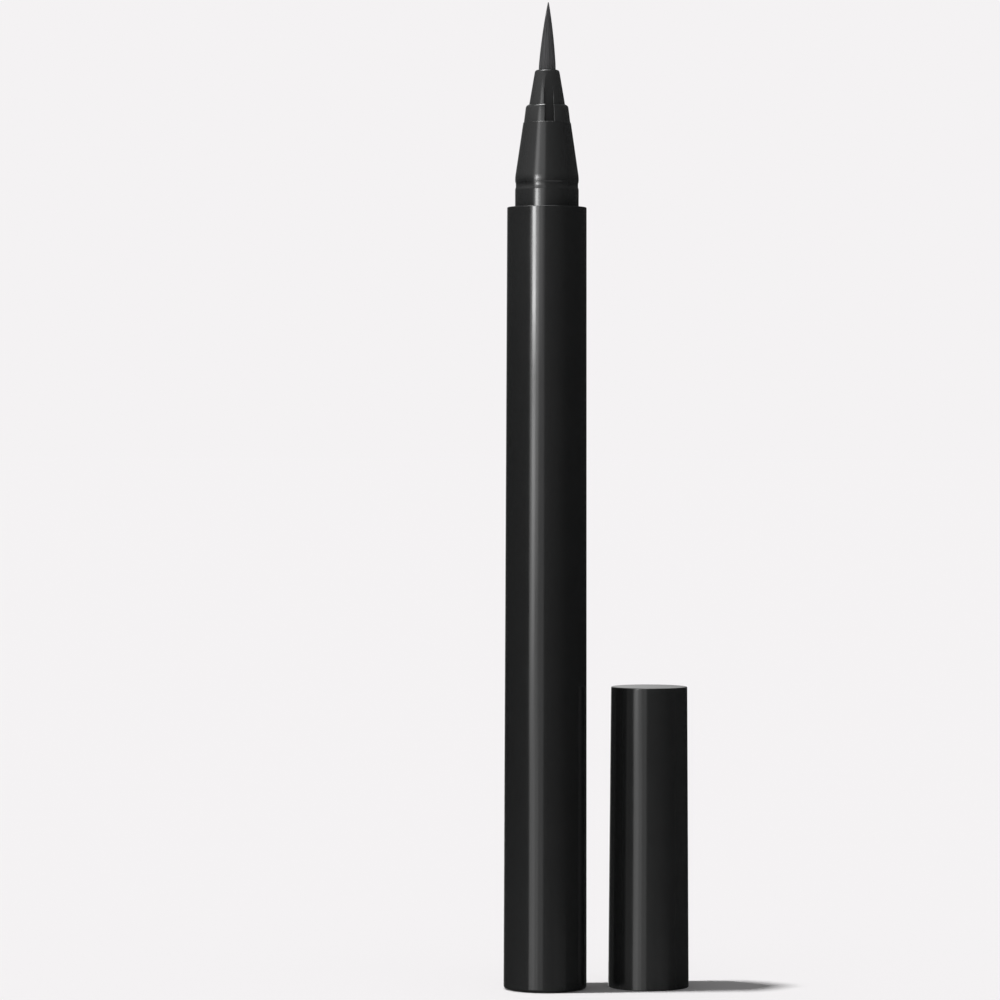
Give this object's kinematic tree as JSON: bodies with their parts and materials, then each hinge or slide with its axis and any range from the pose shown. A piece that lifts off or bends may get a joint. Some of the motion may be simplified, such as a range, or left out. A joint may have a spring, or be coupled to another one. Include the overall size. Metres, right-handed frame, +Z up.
{
  "type": "liquid eyeliner bottle",
  "caption": "Slim brush-tip liquid eyeliner pen standing on its base, with its cylindrical click cap taken off and standing beside it.",
  "frame": {"origin": "centre of the barrel's flat base, on the surface that the pen stands on", "axes": "+Z up the pen towards the brush, -Y towards the viewer, +X towards the cap"},
  "size_m": [0.0242, 0.013, 0.1278],
  "materials": {
    "barrel": "gloss black, moulded",
    "tail": "satin black, moulded",
    "nose": "gloss black, moulded",
    "sleeve": "gloss black, moulded",
    "brush": "dark grey nylon fibre",
    "holder": "black, moulded",
    "feed": "bonded polyester fibre",
    "collector": "natural white, moulded",
    "tank": "natural translucent, extruded",
    "plug": "natural white, moulded",
    "ball": "polished stainless steel",
    "cap": "gloss black, moulded",
    "inner_cap": "natural white, moulded",
    "spring": "stainless spring wire"
  },
  "bodies": {
    "pen": {"barrel": "barrel", "tail_plug": "tail", "nose_cone": "nose", "tip_sleeve": "sleeve", "brush_tip": "brush", "brush_holder": "holder", "feed_core": "feed", "ink_collector": "collector", "ink_tank": "tank", "tank_plug": "plug"},
    "cap": {"cap_shell": "cap", "inner_cap_spring": "spring"},
    "inner_cap": {"inner_cap": "inner_cap"},
    "mixing_ball": {"mixing_ball": "ball"}
  },
  "joints": [
    {"name": "cap_lift", "type": "slide", "parent": "pen", "child": "cap", "axis": [0, 0, 1], "range_m": [0, 0.13]},
    {"name": "inner_cap_slide", "type": "slide", "parent": "cap", "child": "inner_cap", "axis": [0, 0, 1], "range_m": [0, 0.0065], "stiffness_N_per_m": 240, "springref_m": -0.0028, "deforming": ["inner_cap_spring"]},
    {"name": "ball_roll", "type": "slide", "parent": "pen", "child": "mixing_ball", "axis": [0, 0, 1], "range_m": [0, 0.03631]}
  ]
}
